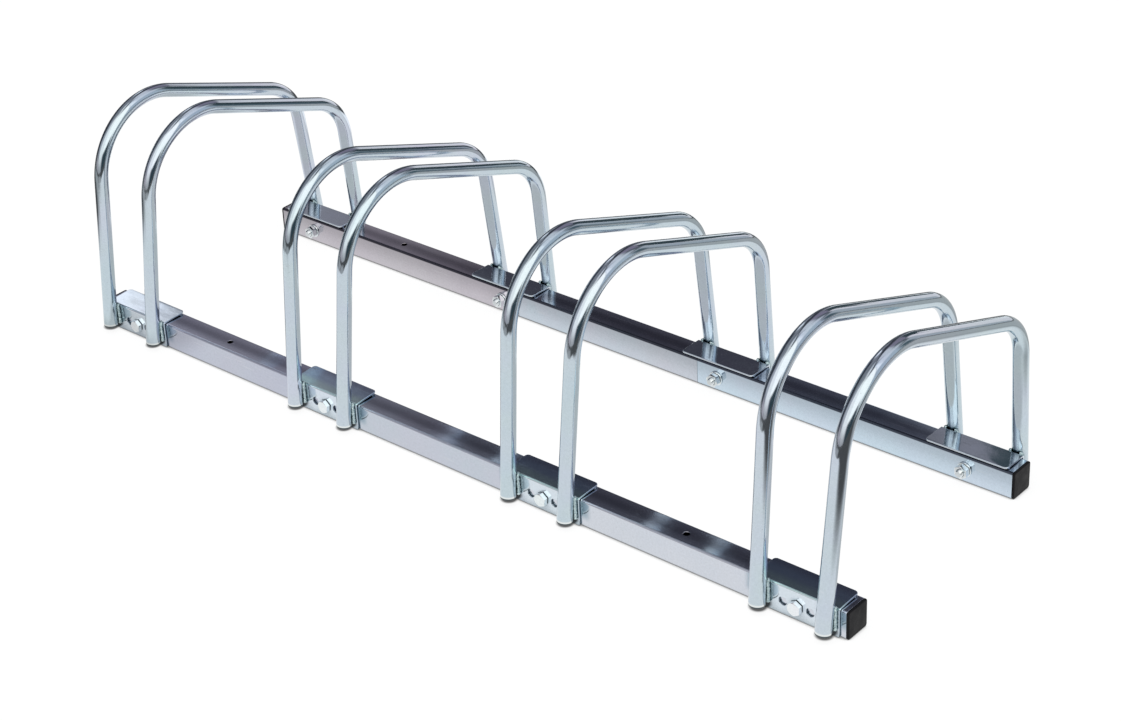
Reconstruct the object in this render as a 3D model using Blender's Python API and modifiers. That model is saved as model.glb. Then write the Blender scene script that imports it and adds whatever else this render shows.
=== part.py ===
"""Floor stand that parks four bicycles side by side, each by one wheel.

Four pairs of bent tube hoops are welded to folded brackets, and the brackets are bolted over
two square floor rails. X runs along the rails, Y from the front rail to the back one, Z up.
The origin is on the floor, in the middle of the stand.
"""

import math

import bmesh
import bpy
from mathutils import Matrix, Vector

# Wheel bays
BAY_COUNT = 4
BAY_PITCH = 0.300
GAP = 0.0003

# Rails of square tube, in three lengths each
RAIL_SIZE = 0.030
RAIL_WALL = 0.0012
RAIL_CORNER = 0.0025
RAIL_SPREAD = 0.314
RAIL_HALF_LENGTH = 0.502
RAIL_JOINT_X = 0.125
BOLT_HOLE_RADIUS = 0.0044
SCREW_HOLE_RADIUS = 0.0034
RAIL_LEAST_INNER_CORNER = 0.0006

# Joiner sleeves inside the rails
JOINER_LENGTH = 0.100
JOINER_CORNER = 0.0020
JOINER_WALL = 0.0015

# Hoops of round tube
TUBE_RADIUS = 0.008
TUBE_BORE_RADIUS = 0.0068
HOOP_HALF_SPACING = 0.036
HOOP_SPLAY = math.radians(1.1)
LEG_LEAN = math.radians(6.0)
LEG_END_Z = 0.005
FRONT_CORNER_Z = 0.289
BACK_CORNER_Z = 0.184
FRONT_BEND_RADIUS = 0.083
BACK_BEND_RADIUS = 0.060
FRONT_BEND_STEPS = 11
BACK_BEND_STEPS = 7

# Brackets folded from plate
PLATE = 0.002
BRACKET_LENGTH = 0.092
FLANGE_END_Z = 0.001
FOLD_RADIUS = 0.003
FOLD_SPRING = math.radians(2.0)
PLATE_CORNER_RADIUS = 0.004
FLANGE_HOLE_RADIUS = 0.0045
FLANGE_HOLE_SPACING = 0.015
TUBE_CLEARANCE = 0.0004
CONTACT_Z = 0.029

# Weld beads in the corners between tube and flange
BEAD_OFFSET = 0.0064
BEAD_TOP_RADIUS = 0.0024
BEAD_END_RADIUS = 0.0033
BEAD_TOP_Z = 0.0300
BEAD_END_Z = 0.0070
BEAD_STANDOFF = 0.0024
BEAD_SEGMENTS = 8

# M8 fasteners
BOLT_RADIUS = 0.004
BOLT_LENGTH = 0.045
BOLT_POINT = 0.0008
HEX_ACROSS_FLATS = 0.013
HEAD_HEIGHT = 0.0053
HEAD_TURNS = (8.0, 9.0, 7.0, 0.0)
NUT_HEIGHT = 0.0065
NUT_BORE_RADIUS = 0.0043
WASHER_RADIUS = 0.008
WASHER_THICKNESS = 0.0016

# End caps
CAP_HEAD = 0.0027
CAP_EDGE = 0.0012
CAP_STEM_SIZE = 0.0224
CAP_STEM_WALL = 0.0018
CAP_STEM_LENGTH = 0.0150
CAP_FIN_THICKNESS = 0.0012
CAP_FIN_CORNER = 0.0015
CAP_FIN_X = (0.0045, 0.0095)
CAP_OVERLAP = 0.0010

# Heights and places worked out from the sizes above
RAIL_OUTER_Y = RAIL_SPREAD / 2
RAIL_CENTRE_Y = RAIL_OUTER_Y - RAIL_SIZE / 2
RAIL_INNER_Y = RAIL_OUTER_Y - RAIL_SIZE
RAIL_CENTRE_Z = RAIL_SIZE / 2
RAIL_INSIDE = RAIL_SIZE - 2 * RAIL_WALL
FLANGE_FACE_Y = RAIL_OUTER_Y + GAP + PLATE
LEG_CONTACT_Y = FLANGE_FACE_Y + TUBE_CLEARANCE + TUBE_RADIUS / math.cos(LEG_LEAN)
BAY_X = [(i - (BAY_COUNT - 1) / 2) * BAY_PITCH for i in range(BAY_COUNT)]
SCREW_HOLE_X = (RAIL_HALF_LENGTH + RAIL_JOINT_X) / 2

# How far a cutter reaches past what it cuts
OVERRUN = 0.003
DRILL_LENGTH = RAIL_SIZE + 2 * OVERRUN

ZINC = (0.62, 0.65, 0.70, 1.0)
BLACK = (0.012, 0.012, 0.013, 1.0)


def clear_scene():
    for obj in list(bpy.data.objects):
        bpy.data.objects.remove(obj)


def add_collection(name):
    collection = bpy.data.collections.new(name)
    bpy.context.scene.collection.children.link(collection)
    return collection


def add_material(name, colour, roughness, metallic):
    material = bpy.data.materials.new(name)
    material.use_nodes = True
    shader = material.node_tree.nodes["Principled BSDF"]
    shader.inputs["Base Color"].default_value = colour
    shader.inputs["Roughness"].default_value = roughness
    shader.inputs["Metallic"].default_value = metallic
    material.diffuse_color = colour
    return material


def add_object(name, data, collection, material=None):
    obj = bpy.data.objects.new(name, data)
    collection.objects.link(obj)
    if material:
        data.materials.clear()
        data.materials.append(material)
    return obj


def mesh_from(build):
    """A mesh filled in by a function that takes a bmesh."""
    bm = bmesh.new()
    build(bm)
    mesh = bpy.data.meshes.new("shape")
    bm.to_mesh(mesh)
    bm.free()
    return mesh


def evaluated_mesh(obj):
    """The object's own shape with its modifiers, welded, as a new mesh. The object is removed."""
    bpy.context.view_layer.update()
    graph = bpy.context.evaluated_depsgraph_get()
    mesh = bpy.data.meshes.new_from_object(obj.evaluated_get(graph), depsgraph=graph)
    bm = bmesh.new()
    bm.from_mesh(mesh)
    bmesh.ops.remove_doubles(bm, verts=bm.verts, dist=1e-6)
    bm.to_mesh(mesh)
    bm.free()
    bpy.data.objects.remove(obj)
    return mesh


def add_cutter(name, mesh, place):
    cutter = add_object(name, mesh, cutters)
    cutter.matrix_world = place
    cutter.display_type = "WIRE"
    cutter.hide_render = True
    return cutter


def add_boolean(obj, other, operation):
    modifier = obj.modifiers.new(other.name, "BOOLEAN")
    modifier.operation = operation
    modifier.solver = "EXACT"
    modifier.object = other


def cylinder_mesh(radius, length, segments=16, end_radius=None):
    """A cylinder or cone along Z, centred, end_radius at its upper end."""
    return mesh_from(
        lambda bm: bmesh.ops.create_cone(
            bm,
            cap_ends=True,
            segments=segments,
            radius1=radius,
            radius2=radius if end_radius is None else end_radius,
            depth=length,
        )
    )


def box_mesh(size):
    return mesh_from(lambda bm: bmesh.ops.create_cube(bm, size=1.0, matrix=Matrix.Diagonal((*size, 1.0))))


def along_y(x, y, z):
    """Places something built along Z so that it runs along Y."""
    return Matrix.Translation((x, y, z)) @ Matrix.Rotation(-math.pi / 2, 4, "X")


def rounded_path(corners, radii, steps):
    """Points of a polyline whose inner corners are arcs with the given radii and step counts."""
    points = [corners[0]]
    for i, (radius, count) in enumerate(zip(radii, steps), start=1):
        back = (corners[i - 1] - corners[i]).normalized()
        ahead = (corners[i + 1] - corners[i]).normalized()
        half = back.angle(ahead) / 2
        centre = corners[i] + (back + ahead).normalized() * radius / math.sin(half)
        start = corners[i] + back * radius / math.tan(half) - centre
        end = corners[i] + ahead * radius / math.tan(half) - centre
        turn = start.angle(end)
        for k in range(count + 1):
            a = math.sin(turn * (1 - k / count)) / math.sin(turn)
            b = math.sin(turn * k / count) / math.sin(turn)
            points.append(centre + start * a + end * b)
    points.append(corners[-1])
    return points


def rounded_square(size, radius, steps=2):
    """Outline of a square with round corners, as points in a plane."""
    reach = size / 2 - radius
    points = []
    for corner in range(4):
        middle = math.pi / 4 + corner * math.pi / 2
        centre = Vector((math.copysign(reach, math.cos(middle)), math.copysign(reach, math.sin(middle))))
        for k in range(steps + 1):
            angle = middle - math.pi / 4 + k / steps * math.pi / 2
            points.append(centre + radius * Vector((math.cos(angle), math.sin(angle))))
    return points


def add_outline(curve, points):
    spline = curve.splines.new("POLY")
    spline.points.add(len(points) - 1)
    for target, point in zip(spline.points, points):
        target.co = (point[0], point[1], 0.0, 1.0)
    spline.use_cyclic_u = True


def extruded_mesh(outlines, length):
    """Flat outlines filled, inner ones as holes, and extruded along Z about the middle."""
    curve = bpy.data.curves.new("outline", "CURVE")
    curve.dimensions = "2D"
    curve.fill_mode = "BOTH"
    curve.extrude = length / 2
    for points in outlines:
        add_outline(curve, points)
    return evaluated_mesh(add_object("outline", curve, cutters))


def square_tube_mesh(outer, wall, corner, length, corner_steps=2):
    inner_corner = max(corner - wall, RAIL_LEAST_INNER_CORNER)
    outlines = [rounded_square(outer, corner, corner_steps), rounded_square(outer - 2 * wall, inner_corner, 1)]
    mesh = extruded_mesh(outlines, length)
    mesh.transform(Matrix.Rotation(math.pi / 2, 4, "Y"))
    return mesh


def smooth(mesh, angle=math.radians(35)):
    mesh.shade_smooth()
    mesh.set_sharp_from_angle(angle=angle)
    return mesh


def swept_tube_mesh(points, radius, resolution):
    """A round bar along points, with closed ends."""
    curve = bpy.data.curves.new("route", "CURVE")
    curve.dimensions = "3D"
    curve.bevel_depth = radius
    curve.bevel_resolution = resolution
    curve.use_fill_caps = True
    spline = curve.splines.new("POLY")
    spline.points.add(len(points) - 1)
    for target, point in zip(spline.points, points):
        target.co = (*point, 1.0)
    return evaluated_mesh(add_object("route", curve, cutters))


def turned_mesh(profile, steps, ring=False):
    """A profile of radius and height, down its outer side from the top, turned about Z."""
    mesh = bpy.data.meshes.new("profile")
    edges = [(i, i + 1) for i in range(len(profile) - 1)]
    if ring:
        edges.append((len(profile) - 1, 0))
    mesh.from_pydata([(radius, 0.0, z) for radius, z in profile], edges, [])
    turned = add_object("turned", mesh, cutters)
    turn = turned.modifiers.new("turn", "SCREW")
    turn.steps = steps
    turn.render_steps = steps
    turn.use_merge_vertices = True
    turn.merge_threshold = 0.00001
    return evaluated_mesh(turned)


def leg_point(z):
    """A point on the front leg's centre line, in the hoop's own plane."""
    return Vector((0.0, -LEG_CONTACT_Y + math.tan(LEG_LEAN) * (z - CONTACT_Z), z))


def hoop_corners(overrun=0.0):
    front_end = leg_point(LEG_END_Z)
    front_corner = leg_point(FRONT_CORNER_Z)
    back_corner = leg_point(BACK_CORNER_Z) * Vector((1, -1, 1))
    back_end = leg_point(LEG_END_Z) * Vector((1, -1, 1))
    front_end += (front_end - front_corner).normalized() * overrun
    back_end += (back_end - back_corner).normalized() * overrun
    return [front_end, front_corner, back_corner, back_end]


def hoop_mesh():
    """One bent tube: front leg, wide bend, sloping run, tight bend and back leg, open at both ends."""
    radii = (FRONT_BEND_RADIUS, BACK_BEND_RADIUS)
    steps = (FRONT_BEND_STEPS, BACK_BEND_STEPS)
    bore_steps = (FRONT_BEND_STEPS // 2 + 1, BACK_BEND_STEPS // 2 + 1)
    outside = swept_tube_mesh(rounded_path(hoop_corners(), radii, steps), TUBE_RADIUS, 4)
    bore = swept_tube_mesh(rounded_path(hoop_corners(OVERRUN), radii, bore_steps), TUBE_BORE_RADIUS, 2)
    hoop = add_object("hoop", outside, cutters)
    add_boolean(hoop, add_cutter("hoop_bore", bore, Matrix()), "DIFFERENCE")
    return smooth(evaluated_mesh(hoop), math.radians(50))


def splayed(side):
    """Places a hoop, or what follows its leg, on one side of its bay: side is -1 or 1."""
    return Matrix.Translation((side * HOOP_HALF_SPACING, 0, 0)) @ Matrix.Rotation(side * HOOP_SPLAY, 4, "Y")


def bracket_outline():
    """End view of the folded plate, from its free edge over the rail to the flange's lower edge.

    The fold has sprung open a little, so that the free edge stands off the rail's top.
    """
    inner_y = RAIL_OUTER_Y + GAP
    along = Vector((math.cos(FOLD_SPRING), math.sin(FOLD_SPRING)))
    upward = Vector((-along.y, along.x))
    inner_corner = Vector((-inner_y, RAIL_SIZE + GAP))
    to_outer_face = PLATE * (math.sin(FOLD_SPRING) - 1) / math.cos(FOLD_SPRING)
    free_edge = inner_corner + along * (inner_y - RAIL_INNER_Y)
    outside = [
        free_edge + upward * PLATE,
        inner_corner + upward * PLATE + along * to_outer_face,
        Vector((-inner_y - PLATE, FLANGE_END_Z)),
    ]
    inside = [
        free_edge,
        inner_corner,
        Vector((-inner_y, FLANGE_END_Z)),
    ]
    outer = rounded_path(outside, [FOLD_RADIUS], [3])
    inner = rounded_path(inside, [FOLD_RADIUS - PLATE], [1])
    return outer + inner[::-1]


def round_free_corners(mesh):
    """Rounds the two corners of the bracket's top plate that lie at its free edge."""
    bm = bmesh.new()
    bm.from_mesh(mesh)
    corners = []
    for edge in bm.edges:
        a, b = (vert.co for vert in edge.verts)
        through_plate = abs(a.z - b.z) > PLATE / 2 and abs(a.x - b.x) < GAP
        if through_plate and min(a.y, b.y) > -RAIL_INNER_Y - PLATE_CORNER_RADIUS:
            corners.append(edge)
    bmesh.ops.bevel(
        bm,
        geom=corners,
        offset=PLATE_CORNER_RADIUS,
        offset_type="OFFSET",
        segments=3,
        profile=0.5,
        affect="EDGES",
    )
    bm.to_mesh(mesh)
    bm.free()


def bracket_mesh():
    """The folded plate with weld beads at its hoops' legs and three holes in its flange."""
    plate = extruded_mesh([bracket_outline()], BRACKET_LENGTH)
    plate.transform(Matrix(((0, 0, 1, 0), (1, 0, 0, 0), (0, 1, 0, 0), (0, 0, 0, 1))))
    round_free_corners(plate)
    bracket = add_object("bracket", plate, cutters)
    bead_length = BEAD_TOP_Z - BEAD_END_Z
    bead_z = (BEAD_TOP_Z + BEAD_END_Z) / 2
    for side in (-1, 1):
        for bead_side in (-1, 1):
            x = side * (HOOP_HALF_SPACING + math.tan(HOOP_SPLAY) * bead_z) + bead_side * BEAD_OFFSET
            bead = cylinder_mesh(BEAD_END_RADIUS, bead_length, BEAD_SEGMENTS, BEAD_TOP_RADIUS)
            place = Matrix.Translation((x, -FLANGE_FACE_Y - BEAD_STANDOFF, bead_z))
            place = place @ Matrix.Rotation(-LEG_LEAN / 2, 4, "X")
            add_boolean(bracket, add_cutter(f"bead_{side}_{bead_side}", bead, place), "UNION")
    for side in (-1, 1):
        leg = cylinder_mesh(TUBE_RADIUS + GAP, 3 * RAIL_SIZE, 16)
        place = splayed(side) @ Matrix.Translation(leg_point(CONTACT_Z)) @ Matrix.Rotation(-LEG_LEAN, 4, "X")
        add_boolean(bracket, add_cutter(f"leg_{side}", leg, place), "DIFFERENCE")
    for i in (-1, 0, 1):
        hole = cylinder_mesh(FLANGE_HOLE_RADIUS, 2 * (PLATE + OVERRUN), 12)
        place = along_y(i * FLANGE_HOLE_SPACING, -FLANGE_FACE_Y, RAIL_CENTRE_Z)
        add_boolean(bracket, add_cutter(f"flange_hole_{i}", hole, place), "DIFFERENCE")
    return smooth(evaluated_mesh(bracket))


def hexagon_mesh(height):
    """A hex prism along Z with its corners turned off at the upper end."""
    across_corners = HEX_ACROSS_FLATS / math.cos(math.pi / 6)
    prism = add_object("hexagon", cylinder_mesh(across_corners / 2, height, 6), cutters)
    face_radius = HEX_ACROSS_FLATS / 2 * 0.97
    slope = math.tan(math.radians(30))
    rim = face_radius + height / slope
    turned = cylinder_mesh(rim, height + 2e-5, 12, face_radius)
    add_boolean(prism, add_cutter("turned_top", turned, Matrix()), "INTERSECT")
    return evaluated_mesh(prism)


def bolt_mesh():
    """A hex bolt along Z: the head's seat at zero, the shank upwards and the head below."""
    head = hexagon_mesh(HEAD_HEIGHT)
    head.transform(Matrix.Translation((0, 0, -HEAD_HEIGHT / 2)) @ Matrix.Rotation(math.pi, 4, "X"))
    bolt = add_object("bolt", head, cutters)
    shank = [
        (0.0, BOLT_LENGTH),
        (BOLT_RADIUS - BOLT_POINT, BOLT_LENGTH),
        (BOLT_RADIUS, BOLT_LENGTH - BOLT_POINT),
        (BOLT_RADIUS, -HEAD_HEIGHT / 2),
        (0.0, -HEAD_HEIGHT / 2),
    ]
    add_boolean(bolt, add_cutter("shank", turned_mesh(shank, 12), Matrix()), "UNION")
    return smooth(evaluated_mesh(bolt))


def nut_mesh():
    nut = add_object("nut", hexagon_mesh(NUT_HEIGHT), cutters)
    bore = cylinder_mesh(NUT_BORE_RADIUS, 2 * NUT_HEIGHT, 12)
    add_boolean(nut, add_cutter("nut_bore", bore, Matrix()), "DIFFERENCE")
    return smooth(evaluated_mesh(nut))


def washer_mesh():
    """A flat ring, turned from its section."""
    section = [
        (WASHER_RADIUS, WASHER_THICKNESS / 2),
        (WASHER_RADIUS, -WASHER_THICKNESS / 2),
        (NUT_BORE_RADIUS, -WASHER_THICKNESS / 2),
        (NUT_BORE_RADIUS, WASHER_THICKNESS / 2),
    ]
    return smooth(turned_mesh(section, 12, True))


def end_cap_mesh():
    """A square plug for the rail end at +X: a flat head outside, and a hollow stem with gripping fins."""
    head = add_object("end_cap", box_mesh((CAP_HEAD, RAIL_SIZE, RAIL_SIZE)), cutters)
    edges = head.modifiers.new("soft_edges", "BEVEL")
    edges.width = CAP_EDGE
    edges.segments = 2
    edges.limit_method = "ANGLE"
    head.data.transform(Matrix.Translation((GAP + CAP_HEAD / 2, 0, 0)))
    stem = box_mesh((CAP_STEM_LENGTH + CAP_OVERLAP, CAP_STEM_SIZE, CAP_STEM_SIZE))
    place = Matrix.Translation((CAP_OVERLAP - CAP_STEM_LENGTH / 2, 0, 0))
    add_boolean(head, add_cutter("cap_stem", stem, place), "UNION")
    for i, depth in enumerate(CAP_FIN_X):
        fin = extruded_mesh([rounded_square(RAIL_INSIDE - 2 * GAP, CAP_FIN_CORNER, 1)], CAP_FIN_THICKNESS)
        fin_place = Matrix.Translation((-depth, 0, 0)) @ Matrix.Rotation(math.pi / 2, 4, "Y")
        add_boolean(head, add_cutter(f"cap_fin_{i}", fin, fin_place), "UNION")
    hollow = CAP_STEM_SIZE - 2 * CAP_STEM_WALL
    cavity = box_mesh((CAP_STEM_LENGTH, hollow, hollow))
    cavity_place = Matrix.Translation((-CAP_STEM_LENGTH / 2 - CAP_OVERLAP / 2, 0, 0))
    add_boolean(head, add_cutter("cap_cavity", cavity, cavity_place), "DIFFERENCE")
    return evaluated_mesh(head)


def add_part(name, mesh, material, parent, place):
    obj = add_object(name, mesh, parts, material)
    obj.parent = parent
    obj.matrix_local = place
    return obj


def add_rail_length(name, start, end, row, bolt_xs, screw_xs):
    """One length of rail from start to end along X, drilled for its bolts and floor screws."""
    mesh = square_tube_mesh(RAIL_SIZE, RAIL_WALL, RAIL_CORNER, end - start)
    middle = (start + end) / 2
    place = Matrix.Translation((middle, -RAIL_CENTRE_Y, RAIL_CENTRE_Z))
    rail = add_object(name, mesh, cutters)
    for x in bolt_xs:
        hole = cylinder_mesh(BOLT_HOLE_RADIUS, DRILL_LENGTH, 10)
        cutter = add_cutter(f"{name}_bolt_hole", hole, along_y(x - middle, 0, 0))
        add_boolean(rail, cutter, "DIFFERENCE")
    for x in screw_xs:
        hole = cylinder_mesh(SCREW_HOLE_RADIUS, DRILL_LENGTH, 10)
        cutter = add_cutter(f"{name}_screw_hole", hole, Matrix.Translation((x - middle, 0, 0)))
        add_boolean(rail, cutter, "DIFFERENCE")
    return add_part(name, smooth(evaluated_mesh(rail)), zinc_rail, row, place)


def add_joiner(name, joint_x, bolt_x, row):
    """A sleeve inside the rail, half in each of two lengths, held by one bracket's bolt."""
    size = RAIL_INSIDE - 2 * GAP
    mesh = square_tube_mesh(size, JOINER_WALL, JOINER_CORNER, JOINER_LENGTH, 1)
    sleeve = add_object(name, mesh, cutters)
    hole = cylinder_mesh(BOLT_HOLE_RADIUS, DRILL_LENGTH, 8)
    add_boolean(sleeve, add_cutter(f"{name}_hole", hole, along_y(bolt_x - joint_x, 0, 0)), "DIFFERENCE")
    place = Matrix.Translation((joint_x, -RAIL_CENTRE_Y, RAIL_CENTRE_Z))
    return add_part(name, smooth(evaluated_mesh(sleeve)), zinc_joiner, row, place)


def add_row(row_name, row, flip):
    """The rail, joiners and caps of one row. The back row is the front one turned half round."""
    left, right = ("right", "left") if flip else ("left", "right")
    first, second, third, fourth = BAY_X
    joint = RAIL_JOINT_X
    add_rail_length(
        f"{row_name}_rail_{left}", -RAIL_HALF_LENGTH, -joint - GAP / 2, row, (first, second), (-SCREW_HOLE_X,)
    )
    add_rail_length(f"{row_name}_rail_middle", -joint + GAP / 2, joint - GAP / 2, row, (), ())
    add_rail_length(
        f"{row_name}_rail_{right}", joint + GAP / 2, RAIL_HALF_LENGTH, row, (third, fourth), (SCREW_HOLE_X,)
    )
    add_joiner(f"{row_name}_joiner_{left}", -joint, second, row)
    add_joiner(f"{row_name}_joiner_{right}", joint, third, row)
    for side, name in ((-1, left), (1, right)):
        turn = Matrix.Rotation(0 if side > 0 else math.pi, 4, "Z")
        place = Matrix.Translation((side * RAIL_HALF_LENGTH, -RAIL_CENTRE_Y, RAIL_CENTRE_Z)) @ turn
        add_part(f"{row_name}_end_cap_{name}", cap_shape, black_plastic, row, place)


def add_fastening(row_name, row, number, x):
    """The bracket of one bay on one rail, with the bolt, washer and nut that hold it."""
    add_part(f"{row_name}_bracket_{number}", bracket_shape, zinc_bracket, row, Matrix.Translation((x, 0, 0)))
    seat_y = -FLANGE_FACE_Y - GAP
    washer_y = -RAIL_INNER_Y + GAP + WASHER_THICKNESS / 2
    nut_y = -RAIL_INNER_Y + 2 * GAP + WASHER_THICKNESS + NUT_HEIGHT / 2
    z = RAIL_CENTRE_Z
    head_turn = Matrix.Rotation(math.radians(HEAD_TURNS[number - 1]), 4, "Z")
    add_part(f"{row_name}_bolt_{number}", bolt_shape, zinc_bolt, row, along_y(x, seat_y, z) @ head_turn)
    add_part(f"{row_name}_washer_{number}", washer_shape, zinc_washer, row, along_y(x, washer_y, z))
    add_part(f"{row_name}_nut_{number}", nut_shape, zinc_nut, row, along_y(x, nut_y, z))


def add_frame_empty(name, parent, place):
    empty = add_object(name, None, parts)
    empty.empty_display_size = 0.05
    empty.parent = parent
    empty.matrix_local = place
    return empty


clear_scene()
parts = add_collection("bike_parking_stand")
cutters = add_collection("cutters")

zinc_rail = add_material("zinc_rail", ZINC, 0.22, 1.0)
zinc_joiner = add_material("zinc_joiner", ZINC, 0.35, 1.0)
zinc_hoop = add_material("zinc_hoop", ZINC, 0.18, 1.0)
zinc_bracket = add_material("zinc_bracket", ZINC, 0.25, 1.0)
zinc_bolt = add_material("zinc_bolt", ZINC, 0.25, 1.0)
zinc_nut = add_material("zinc_nut", ZINC, 0.28, 1.0)
zinc_washer = add_material("zinc_washer", ZINC, 0.30, 1.0)
black_plastic = add_material("black_plastic", BLACK, 0.45, 0.0)

hoop_shape = hoop_mesh()
bracket_shape = bracket_mesh()
bolt_shape = bolt_mesh()
nut_shape = nut_mesh()
washer_shape = washer_mesh()
cap_shape = end_cap_mesh()

stand = add_frame_empty("stand", None, Matrix())
front_row = add_frame_empty("front_row", stand, Matrix())
back_row = add_frame_empty("back_row", stand, Matrix.Rotation(math.pi, 4, "Z"))
add_row("front", front_row, False)
add_row("back", back_row, True)

for number, bay_x in enumerate(BAY_X, start=1):
    add_fastening("front", front_row, number, bay_x)
    add_fastening("back", back_row, number, -bay_x)
    bay = add_frame_empty(f"bay_{number}", stand, Matrix.Translation((bay_x, 0, 0)))
    for hoop_side, hoop_name in ((-1, "left"), (1, "right")):
        add_part(f"hoop_{number}_{hoop_name}", hoop_shape, zinc_hoop, bay, splayed(hoop_side))
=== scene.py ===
"""Looks of the bike parking stand: bright zinc on bent tube, rail, plate and fasteners, in a white studio.

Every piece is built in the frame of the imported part, in metres. The sizes repeat those of the part's source.
"""

import random
from math import atan2, copysign, cos, pi, radians, sin, sqrt, tan

import bpy
from mathutils import Matrix, Vector
from mathutils.geometry import delaunay_2d_cdt


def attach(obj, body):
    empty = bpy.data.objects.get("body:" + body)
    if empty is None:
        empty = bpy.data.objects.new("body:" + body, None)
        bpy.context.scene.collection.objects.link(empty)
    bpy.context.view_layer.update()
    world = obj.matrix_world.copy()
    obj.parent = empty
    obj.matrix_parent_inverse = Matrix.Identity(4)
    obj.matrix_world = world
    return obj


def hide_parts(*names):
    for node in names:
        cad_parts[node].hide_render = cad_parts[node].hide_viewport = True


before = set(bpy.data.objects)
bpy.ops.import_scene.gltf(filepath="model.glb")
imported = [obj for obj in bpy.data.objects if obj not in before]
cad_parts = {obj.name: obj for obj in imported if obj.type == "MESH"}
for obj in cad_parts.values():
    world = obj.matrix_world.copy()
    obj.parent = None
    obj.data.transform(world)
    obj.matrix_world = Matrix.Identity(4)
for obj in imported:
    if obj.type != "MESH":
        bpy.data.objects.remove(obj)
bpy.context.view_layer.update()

# Stand
BAY_PITCH = 0.300
GAP = 0.0003
CORNER_STEPS = 6
BAY_X = [(i - 1.5) * BAY_PITCH for i in range(4)]

# Rails
RAIL_SIZE = 0.030
RAIL_WALL = 0.0012
RAIL_CORNER = 0.0025
RAIL_OUTER_Y = 0.157
RAIL_HALF_LENGTH = 0.502
RAIL_JOINT_X = 0.125
RAIL_CENTRE_Y = RAIL_OUTER_Y - RAIL_SIZE / 2
RAIL_INNER_Y = RAIL_OUTER_Y - RAIL_SIZE
RAIL_CENTRE_Z = RAIL_SIZE / 2
RAIL_RIM = 0.0002
BOLT_HOLE_RADIUS = 0.0044
SCREW_HOLE_RADIUS = 0.0034
SCREW_HOLE_X = (RAIL_HALF_LENGTH + RAIL_JOINT_X) / 2
HOLE_LIP = 0.0003

# Hoops
TUBE_RADIUS = 0.008
TUBE_BORE_RADIUS = 0.0068
TUBE_RIM = 0.0004
HOOP_HALF_SPACING = 0.036
HOOP_SPLAY = radians(1.1)
LEG_LEAN = radians(6.0)
LEG_END_Z = 0.008
FRONT_CORNER_Z = 0.289
BACK_CORNER_Z = 0.184
FRONT_BEND_RADIUS = 0.083
BACK_BEND_RADIUS = 0.060
TUBE_SIDES = 40
BEND_FLATTENING = 0.030
BEND_WIDENING = 0.006
BEND_EASE = 0.012
BEND_RING_SPACING = 0.0042
STRAIGHT_RING_SPACING = 0.045

# Brackets
PLATE = 0.002
PLATE_EDGE = 0.0005
BRACKET_LENGTH = 0.092
FLANGE_END_Z = 0.001
FOLD_INNER_RADIUS = 0.0004
FOLD_STEPS = 10
PLATE_CORNER_RADIUS = 0.004
PLATE_FOOT_RADIUS = 0.0008
FLANGE_HOLE_RADIUS = 0.0045
FLANGE_HOLE_SPACING = 0.015
FLANGE_HOLE_SIDES = 40
FLANGE_FACE_Y = RAIL_OUTER_Y + GAP + PLATE
TUBE_CLEARANCE = 0.0004
CONTACT_Z = 0.029
LEG_CONTACT_Y = FLANGE_FACE_Y + TUBE_CLEARANCE + TUBE_RADIUS / cos(LEG_LEAN)
FOLD_SPRINGS = {"front": (2.0, 2.3, 2.0, 1.8), "back": (2.0, 2.0, 1.6, 2.0)}
NEAR = 1e-6
SAME = 1e-9

# Weld beads: BEAD_CREST is the size in a ripple's trough and what its crest adds, BEAD_SWELL and BEAD_SHIFT bound
# each ripple's random size and place, and BEAD_CURL is how far the upper end leans to the leg and off the plate
BEAD_OFFSET = 0.0066
BEAD_TOP_RADIUS = 0.0019
BEAD_END_RADIUS = 0.0023
BEAD_TOP_Z = 0.0300
BEAD_END_Z = 0.0082
BEAD_STANDOFF = 0.0019
BEAD_FLATTENING = 0.92
BEAD_RIPPLE = 0.0015
BEAD_RIPPLE_LEAD = 0.0006
BEAD_CREST = (0.86, 0.20)
BEAD_DRAWS = 40
BEAD_SWELL = (0.86, 1.16)
BEAD_SHIFT = 0.00025
BEAD_CURL = (0.35, 0.55)
BEAD_CURL_RISE = 0.0040
BEAD_TAPER = 0.05
BEAD_TIP = 0.02
BEAD_SIDES = 18
BEAD_STEPS = 84

# M8 fasteners
BOLT_RADIUS = 0.004
BOLT_LENGTH = 0.045
BOLT_POINT = 0.0009
BOLT_TIP_RADIUS = 0.0010
THREAD_START = 0.031
THREAD_PITCH = 0.00125
THREAD_DEPTH = 0.00062
THREAD_STEEPNESS = 1.25
THREAD_CREST = 0.12
THREAD_STEPS = 10
HEX_ACROSS_FLATS = 0.013
HEX_CORNER_SHARE = 0.985
HEX_FACE_SHARE = 0.95
HEX_FACE_INNER = 0.97
HEX_FACE_EDGE = 4e-5
HEX_SLOPE = tan(radians(30))
HEX_SHARP_ANGLE = 28.0
HEAD_HEIGHT = 0.0053
HEAD_CENTRE_RADIUS = 0.0008
HEAD_TURNS = (8.0, 9.0, 7.0, 0.0)
SEAT_HEIGHT = 0.0004
SEAT_EDGE = 0.00015
SEAT_EDGE_SHARE = 0.985
SEAT_RADIUS = HEX_ACROSS_FLATS * 0.46
NUT_HEIGHT = 0.0065
NUT_TURNS = (12.0, -9.0, 20.0, 4.0)
NUT_BORE_RADIUS = BOLT_RADIUS + 3e-5
NUT_CHAMFER = 0.0004
WASHER_RADIUS = 0.008
WASHER_THICKNESS = 0.0016
WASHER_BORE_RADIUS = BOLT_RADIUS + 0.0003
WASHER_EDGE = 0.0005
WASHER_BURR = 0.0002
ROUND_SIDES = 48

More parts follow.
